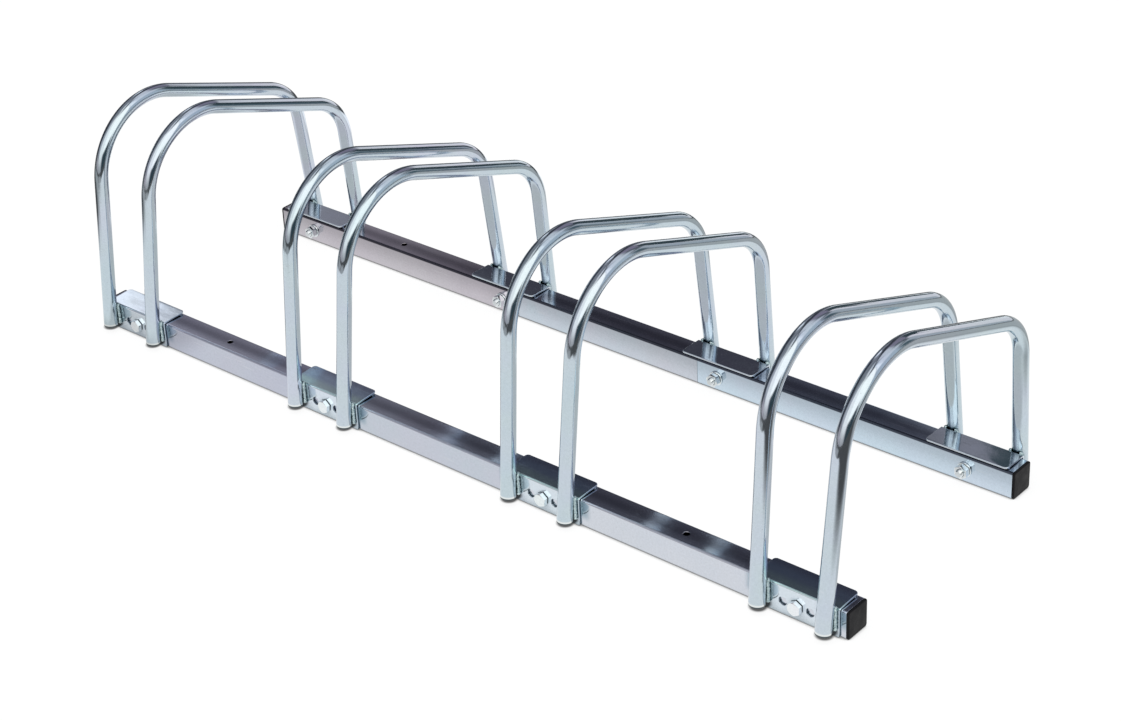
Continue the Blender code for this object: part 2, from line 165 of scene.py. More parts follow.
# End caps: the crown's rings are shares of the head's size
CAP_HEAD = 0.0027
CAP_EDGE = 0.0012
CAP_STEPS = 5
CAP_BACK_EDGE = (0.0003, 0.0004)
CAP_CROWN = 0.0003
CAP_CROWN_RINGS = (0.06, 0.3, 0.55, 0.8)
CAP_CROWN_CORNER = 0.09
CAP_CORNER_SHARE = 0.6
CAP_CORNER = 0.001
# Its stem of sections: size, corner radius and place along X, from the head over two fins into the hollow
CAP_CORE = (0.0224, 0.0010)
CAP_FIN = (0.0270, 0.0015)
CAP_HOLLOW = (0.0188, 0.0006)
CAP_STEM = [(*CAP_CORE, GAP)]
for fin_x in (-0.0039, -0.0089):
    CAP_STEM += [(*CAP_CORE, fin_x), (*CAP_FIN, fin_x), (*CAP_FIN, fin_x - 0.00084), (*CAP_CORE, fin_x - 0.0012)]
CAP_STEM += [(*CAP_CORE, -0.0150), (*CAP_HOLLOW, -0.0150), (*CAP_HOLLOW, -0.0005), (0.0020, 0.0005, -0.0005)]

ROW_TURNS = {"front": Matrix(), "back": Matrix.Rotation(pi, 4, "Z")}

scene = bpy.context.scene


def smoothstep(value):
    value = min(max(value, 0.0), 1.0)
    return value * value * (3 - 2 * value)


def along_y(x, y, z):
    return Matrix.Translation((x, y, z)) @ Matrix.Rotation(-pi / 2, 4, "X")


def mesh_object(name, verts, faces):
    mesh = bpy.data.meshes.new(name)
    mesh.from_pydata([tuple(v) for v in verts], [], faces)
    mesh.update()
    obj = bpy.data.objects.new(name, mesh)
    scene.collection.objects.link(obj)
    return obj


def loft(rings, closed=False):
    """Quads between rings of equal length. An open loft gets its two end rings filled."""
    count = len(rings[0])
    verts = [point for ring in rings for point in ring]
    faces = []
    for i in range(len(rings) if closed else len(rings) - 1):
        a, b = i * count, (i + 1) % len(rings) * count
        for k in range(count):
            m = (k + 1) % count
            faces.append((a + k, a + m, b + m, b + k))
    if not closed:
        faces.append(tuple(reversed(range(count))))
        faces.append(tuple(range((len(rings) - 1) * count, len(rings) * count)))
    return verts, faces


def turn_outward(obj):
    mesh = obj.data
    volume = 0.0
    for face in mesh.polygons:
        points = [mesh.vertices[i].co for i in face.vertices]
        for b, c in zip(points[1:], points[2:]):
            volume += points[0].dot(b.cross(c))
    if volume < 0:
        mesh.flip_normals()


def cut(obj, cutters):
    """Takes the cutters' shapes out of the object and removes the cutters."""
    turn_outward(obj)
    for cutter in cutters:
        turn_outward(cutter)
        modifier = obj.modifiers.new("cut", "BOOLEAN")
        modifier.operation = "DIFFERENCE"
        modifier.solver = "EXACT"
        modifier.object = cutter
    bpy.context.view_layer.update()
    graph = bpy.context.evaluated_depsgraph_get()
    mesh = bpy.data.meshes.new_from_object(obj.evaluated_get(graph), depsgraph=graph)
    obj.modifiers.clear()
    obj.data = mesh
    for cutter in cutters:
        bpy.data.objects.remove(cutter)


def finish_piece(obj, nodes, material, angle=32.0, flats=True):
    """Shades the piece, gives it its material and puts it in the place of its CAD nodes."""
    turn_outward(obj)
    obj.data.materials.clear()
    obj.data.materials.append(material)
    obj.data.shade_smooth()
    obj.data.set_sharp_from_angle(angle=radians(angle))
    if flats:
        weights = obj.modifiers.new("flat_faces_stay_flat", "WEIGHTED_NORMAL")
        weights.keep_sharp = True
    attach(obj, "root")
    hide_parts(*nodes)


def turns(sides):
    return [2 * pi * k / sides for k in range(sides)]


def unit(angle):
    return Vector((cos(angle), sin(angle)))


def polar(radius, angle, z):
    return Vector((radius * cos(angle), radius * sin(angle), z))


def circle(radius, z, sides=ROUND_SIDES):
    return [polar(radius, a, z) for a in turns(sides)]


def placed(rings, place):
    return [[place @ point for point in ring] for ring in rings]


def rounded_square(size, radius, steps):
    reach = size / 2 - radius
    points = []
    for corner in range(4):
        middle = pi / 4 + corner * pi / 2
        centre = Vector((copysign(reach, cos(middle)), copysign(reach, sin(middle))))
        for k in range(steps + 1):
            angle = middle - pi / 4 + k / steps * pi / 2
            points.append(centre + radius * unit(angle))
    return points


def quarter_round(radius, steps=4):
    """Pairs of distance from an end and inset of the surface there, from the end's face outwards."""
    angles = (pi / 2 * k / steps for k in range(steps + 1))
    return [(radius * (1 - sin(a)), radius * (1 - cos(a))) for a in angles][::-1]


def pipe_stations(start, end, rim, lengths=()):
    """Pairs of place along a pipe and inset of its surface there, with a soft rim at each end."""
    near = [(start + s, inset) for s, inset in rim]
    far = [(end - s, inset) for s, inset in reversed(rim)]
    return near + [(s, 0.0) for s in lengths] + far


# Hoops


def leg_point(z):
    return Vector((-LEG_CONTACT_Y + tan(LEG_LEAN) * (z - CONTACT_Z), z))


def hoop_segments():
    """Straights and arcs of the hoop's centre line in its own plane."""
    far = Vector((-1, 1))
    corners = [
        leg_point(LEG_END_Z),
        leg_point(FRONT_CORNER_Z),
        leg_point(BACK_CORNER_Z) * far,
        leg_point(LEG_END_Z) * far,
    ]
    segments = []
    start = corners[0]
    for i, radius in ((1, FRONT_BEND_RADIUS), (2, BACK_BEND_RADIUS)):
        back = (corners[i - 1] - corners[i]).normalized()
        ahead = (corners[i + 1] - corners[i]).normalized()
        half = back.angle(ahead) / 2
        centre = corners[i] + (back + ahead).normalized() * radius / sin(half)
        arc_start = corners[i] + back * radius / tan(half)
        segments.append({"length": (arc_start - start).length, "start": start, "end": arc_start})
        turn = pi - 2 * half
        segments.append({"length": radius * turn, "centre": centre, "spoke": arc_start - centre, "turn": turn})
        start = corners[i] + ahead * radius / tan(half)
    segments.append({"length": (corners[3] - start).length, "start": start, "end": corners[3]})
    return segments


def hoop_station(segments, s):
    """Centre and direction of the hoop's line at the length s, and how far it is into a bend."""
    for segment in segments[:-1]:
        if s <= segment["length"]:
            break
        s -= segment["length"]
    else:
        segment = segments[-1]
    length = segment["length"]
    if "start" in segment:
        direction = (segment["end"] - segment["start"]).normalized()
        return segment["start"] + direction * s, direction, 0.0
    angle = -s / length * segment["turn"]
    spoke = segment["spoke"]
    turned = Vector(
        (
            spoke.x * cos(angle) - spoke.y * sin(angle),
            spoke.x * sin(angle) + spoke.y * cos(angle),
        )
    )
    direction = Vector((turned.y, -turned.x)).normalized()
    return segment["centre"] + turned, direction, smoothstep(min(s, length - s) / BEND_EASE)


def hoop_lengths(segments):
    """Lengths at which the hoop gets a ring, close together in the bends, and its whole length."""
    lengths = []
    passed = 0.0
    for segment in segments:
        length = segment["length"]
        spacing = STRAIGHT_RING_SPACING if "start" in segment else BEND_RING_SPACING
        steps = max(2, round(length / spacing))
        lengths += [passed + length * k / steps for k in range(steps)]
        passed += length
    return lengths[1:], passed


def add_hoop(node, bay_x, side, material):
    """One bent tube with soft rims and its bore open at both ends."""
    segments = hoop_segments()
    lengths, total = hoop_lengths(segments)
    stations = pipe_stations(0.0, total, quarter_round(TUBE_RIM), lengths)
    outside = [(s, TUBE_RADIUS - inset) for s, inset in stations]
    bore = [(s, TUBE_BORE_RADIUS + inset) for s, inset in reversed(stations)]
    place = Matrix.Translation((bay_x + side * HOOP_HALF_SPACING, 0, 0)) @ Matrix.Rotation(side * HOOP_SPLAY, 4, "Y")
    rings = []
    marks = []
    for s, radius in outside + bore:
        centre, direction, share = hoop_station(segments, s)
        across = Vector((-direction.y, direction.x))
        ring = []
        for a in turns(TUBE_SIDES):
            sideways = radius * cos(a)
            upwards = radius * sin(a)
            marks += (sideways, upwards, s)
            point = centre + across * upwards * (1 - BEND_FLATTENING * share)
            ring.append(place @ Vector((sideways * (1 + BEND_WIDENING * share), point.x, point.y)))
        rings.append(ring)
    obj = mesh_object(f"{node}_tube", *loft(rings, closed=True))
    attribute = obj.data.attributes.new("tube_space", "FLOAT_VECTOR", "POINT")
    attribute.data.foreach_set("vector", marks)
    finish_piece(obj, [node], material, angle=50.0, flats=False)


# Rails


def drill(radius, place):
    """A cutter along Z through a rail, which opens out a little at both outer surfaces."""
    half = RAIL_SIZE / 2
    wide = radius + 2 * HOLE_LIP
    upper = [(radius, half - HOLE_LIP), (wide, half + HOLE_LIP), (wide, half + 2 * HOLE_LIP)]
    lower = [(r, -z) for r, z in reversed(upper)]
    return mesh_object("drill", *loft(placed([circle(r, z) for r, z in lower + upper], place)))


def add_rail(node, start, end, row, bolt_xs, screw_xs, material):
    """One length of square tube from start to end along X, drilled for its bolts and floor screws."""
    stations = pipe_stations(start, end, quarter_round(RAIL_RIM, 3))
    bore_size = RAIL_SIZE - 2 * RAIL_WALL
    bore_corner = RAIL_CORNER - RAIL_WALL
    sections = [(x, RAIL_SIZE - 2 * inset, RAIL_CORNER - inset) for x, inset in stations]
    sections += [(x, bore_size + 2 * inset, bore_corner + inset) for x, inset in reversed(stations)]
    place = ROW_TURNS[row] @ Matrix.Translation((0, -RAIL_CENTRE_Y, RAIL_CENTRE_Z))
    rings = []
    for x, size, corner in sections:
        rings.append([place @ Vector((x, p.x, p.y)) for p in rounded_square(size, corner, CORNER_STEPS)])
    obj = mesh_object(f"{node}_tube", *loft(rings, closed=True))
    cutters = [drill(BOLT_HOLE_RADIUS, place @ along_y(x, 0, 0)) for x in bolt_xs]
    cutters += [drill(SCREW_HOLE_RADIUS, place @ Matrix.Translation((x, 0, 0))) for x in screw_xs]
    if cutters:
        cut(obj, cutters)
    finish_piece(obj, [node], material)


# Brackets


def fold_sizes(spring):
    """Lengths of the blank's straight parts and the height of the fold's centre."""
    middle_radius = FOLD_INNER_RADIUS + PLATE / 2
    drop = FOLD_INNER_RADIUS * (1 - sin(spring)) / cos(spring)
    centre_z = RAIL_SIZE + GAP - drop
    top = RAIL_OUTER_Y + GAP - RAIL_INNER_Y - FOLD_INNER_RADIUS * cos(spring) + drop * sin(spring)
    fold = middle_radius * (pi / 2 - spring)
    flange = centre_z - FLANGE_END_Z
    return top, fold, flange, centre_z


def folded(x, s, t, spring, sizes):
    """A point of the flat blank, s from the free edge and t off its middle, on the folded bracket."""
    top, fold, _, centre_z = sizes
    middle_radius = FOLD_INNER_RADIUS + PLATE / 2
    centre = Vector((-RAIL_OUTER_Y - GAP + FOLD_INNER_RADIUS, centre_z))
    turn = pi / 2 + spring + min(max((s - top) / fold, 0.0), 1.0) * (pi / 2 - spring)
    point = centre + unit(turn) * (middle_radius + t)
    point += unit(spring) * max(top - s, 0.0)
    point += Vector((0, -1)) * max(s - top - fold, 0.0)
    return Vector((x, point.x, point.y))


def blank_outline(inset, sizes):
    """The blank's edge, pulled in by inset, the same number of points for every inset."""
    top, fold, flange, _ = sizes
    whole = top + fold + flange
    half = BRACKET_LENGTH / 2 - inset
    lines = [PLATE_CORNER_RADIUS + (top - PLATE_CORNER_RADIUS) * k / 3 for k in (1, 2)]
    lines += [top + fold * k / FOLD_STEPS for k in range(FOLD_STEPS + 1)]
    points = []
    for i, (side, near) in enumerate(((1, True), (1, False), (-1, False), (-1, True))):
        radius = PLATE_CORNER_RADIUS if near else PLATE_FOOT_RADIUS
        centre = Vector((side * (BRACKET_LENGTH / 2 - radius), radius if near else whole - radius))
        for k in range(CORNER_STEPS + 1):
            a = radians(90 * (i - 1) + 90 * k / CORNER_STEPS)
            points.append(centre + (radius - inset) * unit(a))
        if i == 0:
            points += [Vector((half, s)) for s in lines]
        elif i == 2:
            points += [Vector((-half, s)) for s in reversed(lines)]
    return points


def blank_hole(x, s, radius):
    return [Vector((x + p.x, s + p.y)) for p in circle(radius, 0.0, FLANGE_HOLE_SIDES)[::-1]]


def add_bracket(node, row, number, x, material):
    """A plate with rounded edges and three holes, folded over the rail's outer top corner."""
    spring = radians(FOLD_SPRINGS[row][number - 1])
    sizes = fold_sizes(spring)
    whole = sum(sizes[:3])
    hole_s = whole - (RAIL_CENTRE_Z - FLANGE_END_Z)
    holes = [(i * FLANGE_HOLE_SPACING, hole_s) for i in (-1, 0, 1)]
    rim = quarter_round(PLATE_EDGE, 3)
    layers = [(PLATE / 2 - depth, inset) for depth, inset in rim]
    layers += [(depth - PLATE / 2, inset) for depth, inset in rim[::-1]]
    loops = [[blank_outline(inset, sizes) for _, inset in layers]]
    for hole_x, s in holes:
        loops.append([blank_hole(hole_x, s, FLANGE_HOLE_RADIUS + inset) for _, inset in layers])
    place = ROW_TURNS[row] @ Matrix.Translation((x, 0, 0))
    verts, faces = [], []
    first, last = [], []
    flat_points, flat_edges = [], []
    for loop in loops:
        count = len(loop[0])
        start = len(verts)
        for (t, _), ring in zip(layers, loop):
            verts += [place @ folded(p.x, p.y, t, spring, sizes) for p in ring]
        for i in range(len(layers) - 1):
            a, b = start + i * count, start + (i + 1) * count
            faces += [(a + k, b + k, b + (k + 1) % count, a + (k + 1) % count) for k in range(count)]
        base = len(flat_points)
        flat_points += loop[0]
        flat_edges += [(base + k, base + (k + 1) % count) for k in range(count)]
        first += range(start, start + count)
        last += range(start + (len(layers) - 1) * count, start + len(layers) * count)
    outline = loops[0][0]
    for k, point in enumerate(outline):
        if point.x > BRACKET_LENGTH / 2 - PLATE_EDGE - NEAR:
            partners = [m for m, p in enumerate(outline) if abs(p.y - point.y) < SAME and p.x < 0]
            flat_edges += [(k, m) for m in partners[:1]]
    points, _, triangles, sources, _, _ = delaunay_2d_cdt(flat_points, flat_edges, [], 0, SAME)
    source = [found[0] for found in sources]
    for triangle in triangles:
        middle = sum((points[i] for i in triangle), Vector((0, 0))) / len(triangle)
        if any((middle - Vector(hole)).length < FLANGE_HOLE_RADIUS for hole in holes):
            continue
        a = [source[i] for i in triangle]
        faces.append(tuple(first[i] for i in a))
        faces.append(tuple(last[i] for i in reversed(a)))
    obj = mesh_object(f"{node}_plate", verts, faces)
    finish_piece(obj, [node], material)


def bead_rings(x, lean_side, seed):
    """A weld bead that runs up the corner between a leg and the flange, in overlapping ripples."""
    chance = random.Random(seed)
    swell = [chance.uniform(*BEAD_SWELL) for _ in range(BEAD_DRAWS)]
    shift = [chance.uniform(-BEAD_SHIFT, BEAD_SHIFT) for _ in range(BEAD_DRAWS)]
    trough, crest_gain = BEAD_CREST
    curl_in, curl_out = BEAD_CURL
    facing = atan2(-1, lean_side)
    rings = []
    for i in range(BEAD_STEPS + 1):
        share = i / BEAD_STEPS
        z = BEAD_END_Z + (BEAD_TOP_Z + BEAD_CURL_RISE - BEAD_END_Z) * share
        curl = max(z - BEAD_TOP_Z, 0.0)
        ripple = z / BEAD_RIPPLE
        k = int(ripple)
        blend = smoothstep(ripple - k)
        size, off = (draws[k] * (1 - blend) + draws[k + 1] * blend for draws in (swell, shift))
        crest = trough + crest_gain * abs(sin(pi * ripple))
        rounding = sqrt(min(min(share, 1 - share) / BEAD_TAPER, 1.0))
        plain = BEAD_END_RADIUS + (BEAD_TOP_RADIUS - BEAD_END_RADIUS) * share
        radius = plain * size * crest * max(rounding, BEAD_TIP)
        spread = lean_side * (BEAD_OFFSET + off - curl_in * curl)
        centre = Vector((x + spread, -FLANGE_FACE_Y - BEAD_STANDOFF + curl_out * curl, z))
        ring = []
        for a in turns(BEAD_SIDES):
            lead = BEAD_RIPPLE_LEAD * cos(a - facing) * rounding
            ring.append(centre + Vector((cos(a) * radius * BEAD_FLATTENING, sin(a) * radius, lead)))
        rings.append(ring)
    return rings


def add_welds(node, row, number, x, material):
    """The four beads that hold two legs on one bracket's flange."""
    place = ROW_TURNS[row] @ Matrix.Translation((x, 0, 0))
    middle_z = (BEAD_TOP_Z + BEAD_END_Z) / 2
    verts, faces = [], []
    for i, (side, lean_side) in enumerate(((-1, -1), (-1, 1), (1, -1), (1, 1))):
        leg_x = side * (HOOP_HALF_SPACING + tan(HOOP_SPLAY) * middle_z)
        seed = number * 10 + i + (100 if row == "back" else 0)
        bead_verts, bead_faces = loft(placed(bead_rings(leg_x, lean_side, seed), place))
        base = len(verts)
        verts += bead_verts
        faces += [tuple(base + k for k in face) for face in bead_faces]
    obj = mesh_object(f"{node}_welds", verts, faces)
    finish_piece(obj, [node], material, angle=80.0, flats=False)


# Fasteners


def hexagon_ring(z, height=None, share=1.0):
    """A hexagon with slightly rounded corners, as many points as a circle. height may give each its own z."""
    apothem = HEX_ACROSS_FLATS / 2 * share
    corner = apothem / cos(pi / 6) * HEX_CORNER_SHARE
    points = []
    for a in turns(ROUND_SIDES):
        off = (a + pi / 6) % (pi / 3) - pi / 6
        radius = min(apothem / cos(off), corner)
        points.append(polar(radius, a, height(radius) if height else z))
    return points


def hexagon_end(z, side):
    """Rings of a hexagon's turned end at the height z, from its flat face outwards. side is 1 above, -1 below."""
    face = HEX_ACROSS_FLATS / 2 * HEX_FACE_SHARE

    def sloped(radius):
        return z - side * (radius - face) * HEX_SLOPE

    return [circle(face * HEX_FACE_INNER, z), circle(face, z - side * HEX_FACE_EDGE), hexagon_ring(z, sloped)]


def add_bolt(node, place, material):
    """A hex bolt along Z with a cut thread: the head's seat at zero, the shank upwards."""
    rings = [
        circle(HEAD_CENTRE_RADIUS, -HEAD_HEIGHT),
        *hexagon_end(-HEAD_HEIGHT, -1),
        hexagon_ring(-SEAT_HEIGHT - SEAT_EDGE),
        hexagon_ring(-SEAT_HEIGHT, share=SEAT_EDGE_SHARE),
        circle(SEAT_RADIUS, -SEAT_HEIGHT),
        circle(SEAT_RADIUS, 0.0),
        circle(BOLT_RADIUS, 0.0),
        circle(BOLT_RADIUS, THREAD_START - THREAD_PITCH),
    ]
    steps = round((BOLT_LENGTH - THREAD_START) / THREAD_PITCH * THREAD_STEPS)
    for i in range(steps + 1):
        z = THREAD_START + (BOLT_LENGTH - THREAD_START) * i / steps
        run_in = smoothstep((z - THREAD_START) / THREAD_PITCH)
        point = BOLT_RADIUS - BOLT_POINT + (BOLT_LENGTH - z)
        ring = []
        for k, a in enumerate(turns(ROUND_SIDES)):
            phase = (z / THREAD_PITCH - k / ROUND_SIDES) % 1.0
            valley = THREAD_STEEPNESS * (1 - abs(2 * phase - 1)) - THREAD_CREST
            depth = THREAD_DEPTH * min(max(valley, 0.0), 1.0) * run_in
            ring.append(polar(min(BOLT_RADIUS - depth, point), a, z))
        rings.append(ring)
    rings.append(circle(BOLT_TIP_RADIUS, BOLT_LENGTH))
    obj = mesh_object(f"{node}_threaded", *loft(placed(rings, place)))
    finish_piece(obj, [node], material, angle=HEX_SHARP_ANGLE)


def add_nut(node, place, material):
    half = NUT_HEIGHT / 2
    wide = NUT_BORE_RADIUS + NUT_CHAMFER
    rings = hexagon_end(half, 1) + hexagon_end(-half, -1)[::-1]
    rings += [circle(wide, -half), circle(NUT_BORE_RADIUS, -half + NUT_CHAMFER)]
    rings += [circle(NUT_BORE_RADIUS, half - NUT_CHAMFER), circle(wide, half)]
    obj = mesh_object(f"{node}_hexagon", *loft(placed(rings, place), closed=True))
    finish_piece(obj, [node], material, angle=HEX_SHARP_ANGLE)


def add_washer(node, place, material):
    half = WASHER_THICKNESS / 2
    soft = quarter_round(WASHER_EDGE)
    sharp = quarter_round(WASHER_BURR, 2)
    rings = [circle(WASHER_RADIUS - inset, half - s) for s, inset in soft]
    rings += [circle(WASHER_RADIUS - inset, s - half) for s, inset in reversed(sharp)]
    rings += [circle(WASHER_BORE_RADIUS + inset, s - half) for s, inset in sharp]
    rings += [circle(WASHER_BORE_RADIUS + inset, half - s) for s, inset in reversed(sharp)]
    obj = mesh_object(f"{node}_ring", *loft(placed(rings, place), closed=True))
    finish_piece(obj, [node], material)


# End caps


def add_end_cap(node, place, material):
    """A square plug: a pillowed head outside the rail, and a finned hollow stem inside it."""
    outline = [(RAIL_SIZE * share, CAP_HEAD - CAP_CROWN * share * share) for share in CAP_CROWN_RINGS]
    sections = [(size, size * CAP_CROWN_CORNER, GAP + x) for size, x in outline]
    for s, inset in quarter_round(CAP_EDGE, CAP_STEPS):
        corner = max(RAIL_CORNER - inset * CAP_CORNER_SHARE, CAP_CORNER)
        sections.append((RAIL_SIZE - 2 * inset, corner, GAP + (CAP_HEAD - CAP_CROWN) - s))
    edge_depth, edge_inset = CAP_BACK_EDGE
    sections += [(RAIL_SIZE, RAIL_CORNER, GAP + edge_depth), (RAIL_SIZE - edge_inset, RAIL_CORNER, GAP)]
    rings = []
    for size, corner, x in (*sections, *CAP_STEM):
        rings.append([Vector((x, p.x, p.y)) for p in rounded_square(size, corner, CAP_STEPS)])
    obj = mesh_object(f"{node}_plug", *loft(placed(rings, place)))
    finish_piece(obj, [node], material)


# Materials: every colour is red, green and blue


def add_node(tree, kind, inputs=None, **settings):
    made = tree.nodes.new(f"ShaderNode{kind}")
    for name, value in settings.items():
        setattr(made, name, value)
    for key, value in (inputs or {}).items():
        socket = made.inputs[key]
        if isinstance(value, bpy.types.NodeSocket):
            tree.links.new(value, socket)
        else:
            socket.default_value = (*value, 1.0) if socket.type == "RGBA" else value
    return made


def linked(kind, inputs, **settings):
    """A new node in the tree of the sockets that it is linked to."""
    tree = next(value.id_data for value in inputs.values() if isinstance(value, bpy.types.NodeSocket))
    return add_node(tree, kind, inputs, **settings)


def calc(operation, *values):
    return linked("Math", dict(enumerate(values)), operation=operation).outputs[0]


def times(first, second):
    return calc("MULTIPLY", first, second)


def remap(value, low, high, to_low=0.0, to_high=1.0, smooth=False):
    inputs = {"Value": value, "From Min": low, "From Max": high, "To Min": to_low, "To Max": to_high}
    kind = "SMOOTHSTEP" if smooth else "LINEAR"
    return linked("MapRange", inputs, interpolation_type=kind).outputs[0]


def window(u, v, u_range, v_range, u_soft, v_soft):
    """One inside a soft-edged rectangle of two coordinates, and zero outside it."""
    found = None
    for value, (low, high), (low_soft, high_soft) in ((u, u_range, u_soft), (v, v_range, v_soft)):
        for at, soft, inside, outside in ((low, low_soft, 1.0, 0.0), (high, high_soft, 0.0, 1.0)):
            step = remap(value, at - soft, at + soft, outside, inside, smooth=True)
            found = times(found, step) if found else step
    return found


def mixed(share, first, second, **settings):
    inputs = {0: share, 6: first, 7: second}
    return linked("Mix", inputs, data_type="RGBA", **settings).outputs[2]


def tinted(base, tone):
    """The base colour times a tone, at most one."""
    return mixed(1.0, base, tone, blend_type="MULTIPLY", clamp_result=True)


def scaled(place, scale, rotation=(0.0, 0.0, 0.0)):
    return linked("Mapping", {"Vector": place, "Scale": scale, "Rotation": rotation}).outputs[0]


def noise(place, scale=1.0, detail=2.0, roughness=0.5):
    inputs = {"Vector": place, "Scale": scale, "Detail": detail, "Roughness": roughness}
    return linked("TexNoise", inputs).outputs["Fac"]


def pattern(place, scale, detail, low, high):
    """Noise stretched so that its level low gives zero and its level high gives one."""
    return remap(noise(place, scale, detail), low, high)


def new_material(name):
    material = bpy.data.materials.new(name)
    material.use_nodes = True
    tree = material.node_tree
    return material, tree, tree.nodes["Principled BSDF"]


def surface_place(tree, on_tube=False):
    """The place on the stand, or on a hoop the place across and along its tube."""
    if on_tube:
        return add_node(tree, "Attribute", attribute_name="tube_space").outputs["Vector"]
    return add_node(tree, "TexCoord").outputs["Object"]


def axes(place):
    return linked("SeparateXYZ", {0: place}).outputs


def finish_shader(shader, base, roughness, *bumps):
    """Links the base colour, the roughness and the bumps, each a height and its depth."""
    normal = None
    for height, depth in bumps:
        inputs = {"Height": height, "Distance": depth, "Strength": 1.0}
        if normal:
            inputs["Normal"] = normal
        normal = linked("Bump", inputs).outputs[0]
    for name, value in (("Base Color", base), ("Roughness", roughness), ("Normal", normal)):
        shader.id_data.links.new(value, shader.inputs[name])


WHITE = (1.0, 1.0, 1.0)

# Painted shade on the back rail's inner upper corner: heights between which it begins, and its tone
CORNER_SHADE_Z = (RAIL_SIZE - RAIL_CORNER - 0.0002, RAIL_SIZE - RAIL_CORNER + 0.0006)
CORNER_SHADE_TONE = (0.13, 0.13, 0.15)

# Painted sheen and shade on upper faces: tones inside, in the middle and outside, the height they lie above, and
# where they fade in along X. Both outer tones fade in over shares of half the rail's width.
RAIL_TOP_SHEEN = (((0.95, 0.92, 0.95), (0.61, 0.59, 0.62), (1.18, 1.16, 1.16)), RAIL_SIZE - 0.0006, (-2.0, -1.0))
PLATE_TOP_SHEEN = (((0.62, 0.64, 0.74), (0.80, 0.88, 0.98), (1.05, 1.20, 1.08)), RAIL_SIZE + 0.001, (-0.36, -0.22))
SHEEN_OUTER = (0.0, 0.75)
SHEEN_INNER = (-0.10, -0.85)

# Painted shade on the front rail by the flanges: distance from the bay's middle, height, their soft edges, and its
# tone
FLANGE_SHADE = ((0.044, 0.0560), (0.0105, 0.0285), (0.001, 0.0045), (0.0045, 0.001))
FLANGE_SHADE_TONE = (0.56, 0.66, 0.70)

# Painted highlight and shadow at a front leg's end: lengths over which each fades, its share at the end, and its
# colour
LEG_END_PAINTED_LIGHT = ((0.0026, 0.0038, 0.85, (0.90, 0.94, 0.93)), (0.0011, 0.0016, 1.0, (0.07, 0.09, 0.10)))

# Zinc: least roughness, depths of the fine grain and of the slow waves, the stretch of both on each axis, and the
# painted shade in narrow gaps: the gaps' width, and the open shares between which the shade lightens
FINISHES = {
    "rail": (0.05, 4e-6, 0.00012, (0.03, 1.0, 1.0), (0.003, 0.05, 0.28)),
    "hoop": (0.045, 4e-6, 0.00016, (1.0, 1.0, 0.03), (0.014, 0.15, 0.86)),
    "plate": (0.05, 3e-6, 0.0001, (0.25, 1.0, 1.0), (0.013, 0.15, 0.86)),
    "bolt": (0.07, 3e-6, 3e-5, (1.0, 1.0, 1.0), (0.003, 0.10, 0.45)),
    "joiner": (0.24, 5e-6, 0.0001, (0.03, 1.0, 1.0), (0.003, 0.05, 0.28)),
}
GAP_SHADE_TONE = (0.10, 0.15, 0.17)
ROUGHNESS_GAINS = (0.06, 0.10, 0.05)
GRAIN_SCALE = 1500.0
WAVE_SCALE = 75.0
WAVE_STRETCH = 0.35

# Patterns: scale, detail, and the noise's levels for zero and one. Stretches: scale and rotation on each axis.
CLOUDS = (6.5, 2.0, 0.36, 0.64)
PATCHES = (34.0, 3.0, 0.34, 0.68)
PATCH_SHARE = 0.55
FLECKS = (420.0, 3.0, 0.6)
FLECK_TONES = (0.2, 0.8, 0.93, 1.05)
RUBS = (1.0, 1.0, 0.66, 0.74)
RUB_STRETCH = ((30.0, 900.0, 420.0), (0.3, 0.5, 0.7))
RUB_SHARE = 0.18
RUB_COLOUR = (0.80, 0.82, 0.85)
SPOT_SCALE = 160.0
SPOT_EDGE = (0.05, 0.11, 1.0, 0.0)
SPOT_PICK = (300.0, 0.0)
SPOT_RARITY = 0.60
SPOT_SHARE = 0.35
SPOT_COLOUR = (0.30, 0.31, 0.34)

# Weld metal and cap plastic: noises, roughness between two levels of a noise, and bump depths
# The weld's painted shade: in gaps beside the bead, and a dark teal in the hollows between its lumps
WELD_GAP_SHADE = (0.003, 0.05, 0.42)
WELD_HOLLOW_SHADE_TINTS = ((0.30, 0.44, 0.47), (0.84, 0.96, 0.97))
WELD_LUMPS = (520.0, 4.0, 0.6)
WELD_GRAINS = (1900.0, 2.0)
WELD_ROUGHNESS = (0.2, 0.8, 0.20, 0.36)
WELD_LUMP_DEPTH = 0.0005
CAP_TINTS = ((0.006, 0.006, 0.007), (0.009, 0.009, 0.011))
CAP_CLOUDS = (120.0, 2.0)
CAP_GRAINS = (2400.0, 3.0, 0.6)
CAP_ROUGHNESS = (0.3, 0.7, 0.38, 0.52)
CAP_CLOUD_DEPTH = 0.0002
CAP_SPECULAR = 0.12
GRAIN_DEPTH = 4e-5
SCUFFS = (1.0, 2.0, 0.62, 0.74)
SCUFF_STRETCH = ((300.0, 1400.0, 160.0), (0.5, 0.1, 0.2))
SCUFF_SHARE = 0.4
SCUFF_COLOUR = (0.026, 0.027, 0.030)

RAIL_TINTS = {
    "front_left": ((0.55, 0.58, 0.69), (0.59, 0.63, 0.71), (0.57, 0.58, 0.68)),
    "front_middle": ((0.60, 0.63, 0.71), (0.57, 0.65, 0.72), (0.63, 0.64, 0.74)),
    "front_right": ((0.68, 0.72, 0.80), (0.67, 0.71, 0.77), (0.72, 0.75, 0.81)),
    "back_left": ((0.60, 0.58, 0.62), (0.62, 0.58, 0.64), (0.58, 0.55, 0.60)),
    "back_middle": ((0.62, 0.66, 0.72), (0.60, 0.69, 0.77), (0.64, 0.64, 0.73)),
    "back_right": ((0.62, 0.76, 0.87), (0.66, 0.72, 0.84), (0.64, 0.78, 0.88)),
}
HOOP_TINTS = ((0.58, 0.69, 0.76), (0.64, 0.69, 0.80), (0.62, 0.73, 0.75))
BRACKET_TINTS = ((0.72, 0.81, 0.89), (0.74, 0.80, 0.91), (0.76, 0.84, 0.88))
